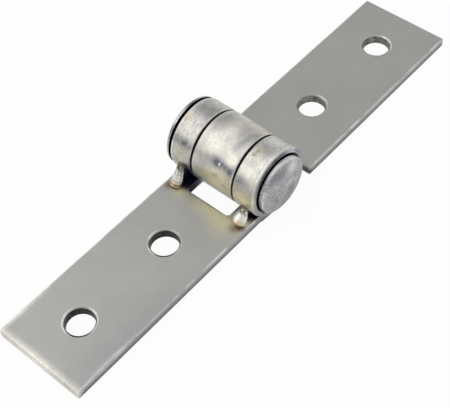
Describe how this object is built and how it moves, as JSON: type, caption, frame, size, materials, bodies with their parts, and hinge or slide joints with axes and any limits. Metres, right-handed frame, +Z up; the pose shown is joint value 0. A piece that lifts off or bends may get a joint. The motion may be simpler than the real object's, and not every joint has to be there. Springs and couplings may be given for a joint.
{
  "type": "butt hinge",
  "caption": "Long narrow steel butt hinge: flat strip leaves with screw holes, rolled and tack-welded knuckles, and a thick pin with domed heads at both ends.",
  "frame": {"origin": "in the middle of the open hinge's length and width, on the plane of the leaves' undersides; the pin's axis is 1.5 mm from it towards the two-knuckle leaf", "axes": "+X along the one-knuckle leaf, away from the pin; +Y along the pin's axis; +Z up from the leaves' undersides, on the barrel's side"},
  "size_m": [0.136, 0.0296, 0.0185],
  "materials": {
    "leaf_steel": "satin stainless strip, polished on the knuckles, straw heat tint at the welds",
    "pin_steel": "ground and tumbled stainless bar"
  },
  "bodies": {
    "two_knuckle_side": {"two_knuckle_leaf": "leaf_steel", "hinge_pin": "pin_steel"},
    "one_knuckle_side": {"one_knuckle_leaf": "leaf_steel"}
  },
  "joints": [
    {"name": "fold", "type": "hinge", "parent": "two_knuckle_side", "child": "one_knuckle_side", "pos_m": [-0.0015, 0, 0.00923], "axis": [0, -1, 0], "range_deg": [-95, 180]}
  ]
}
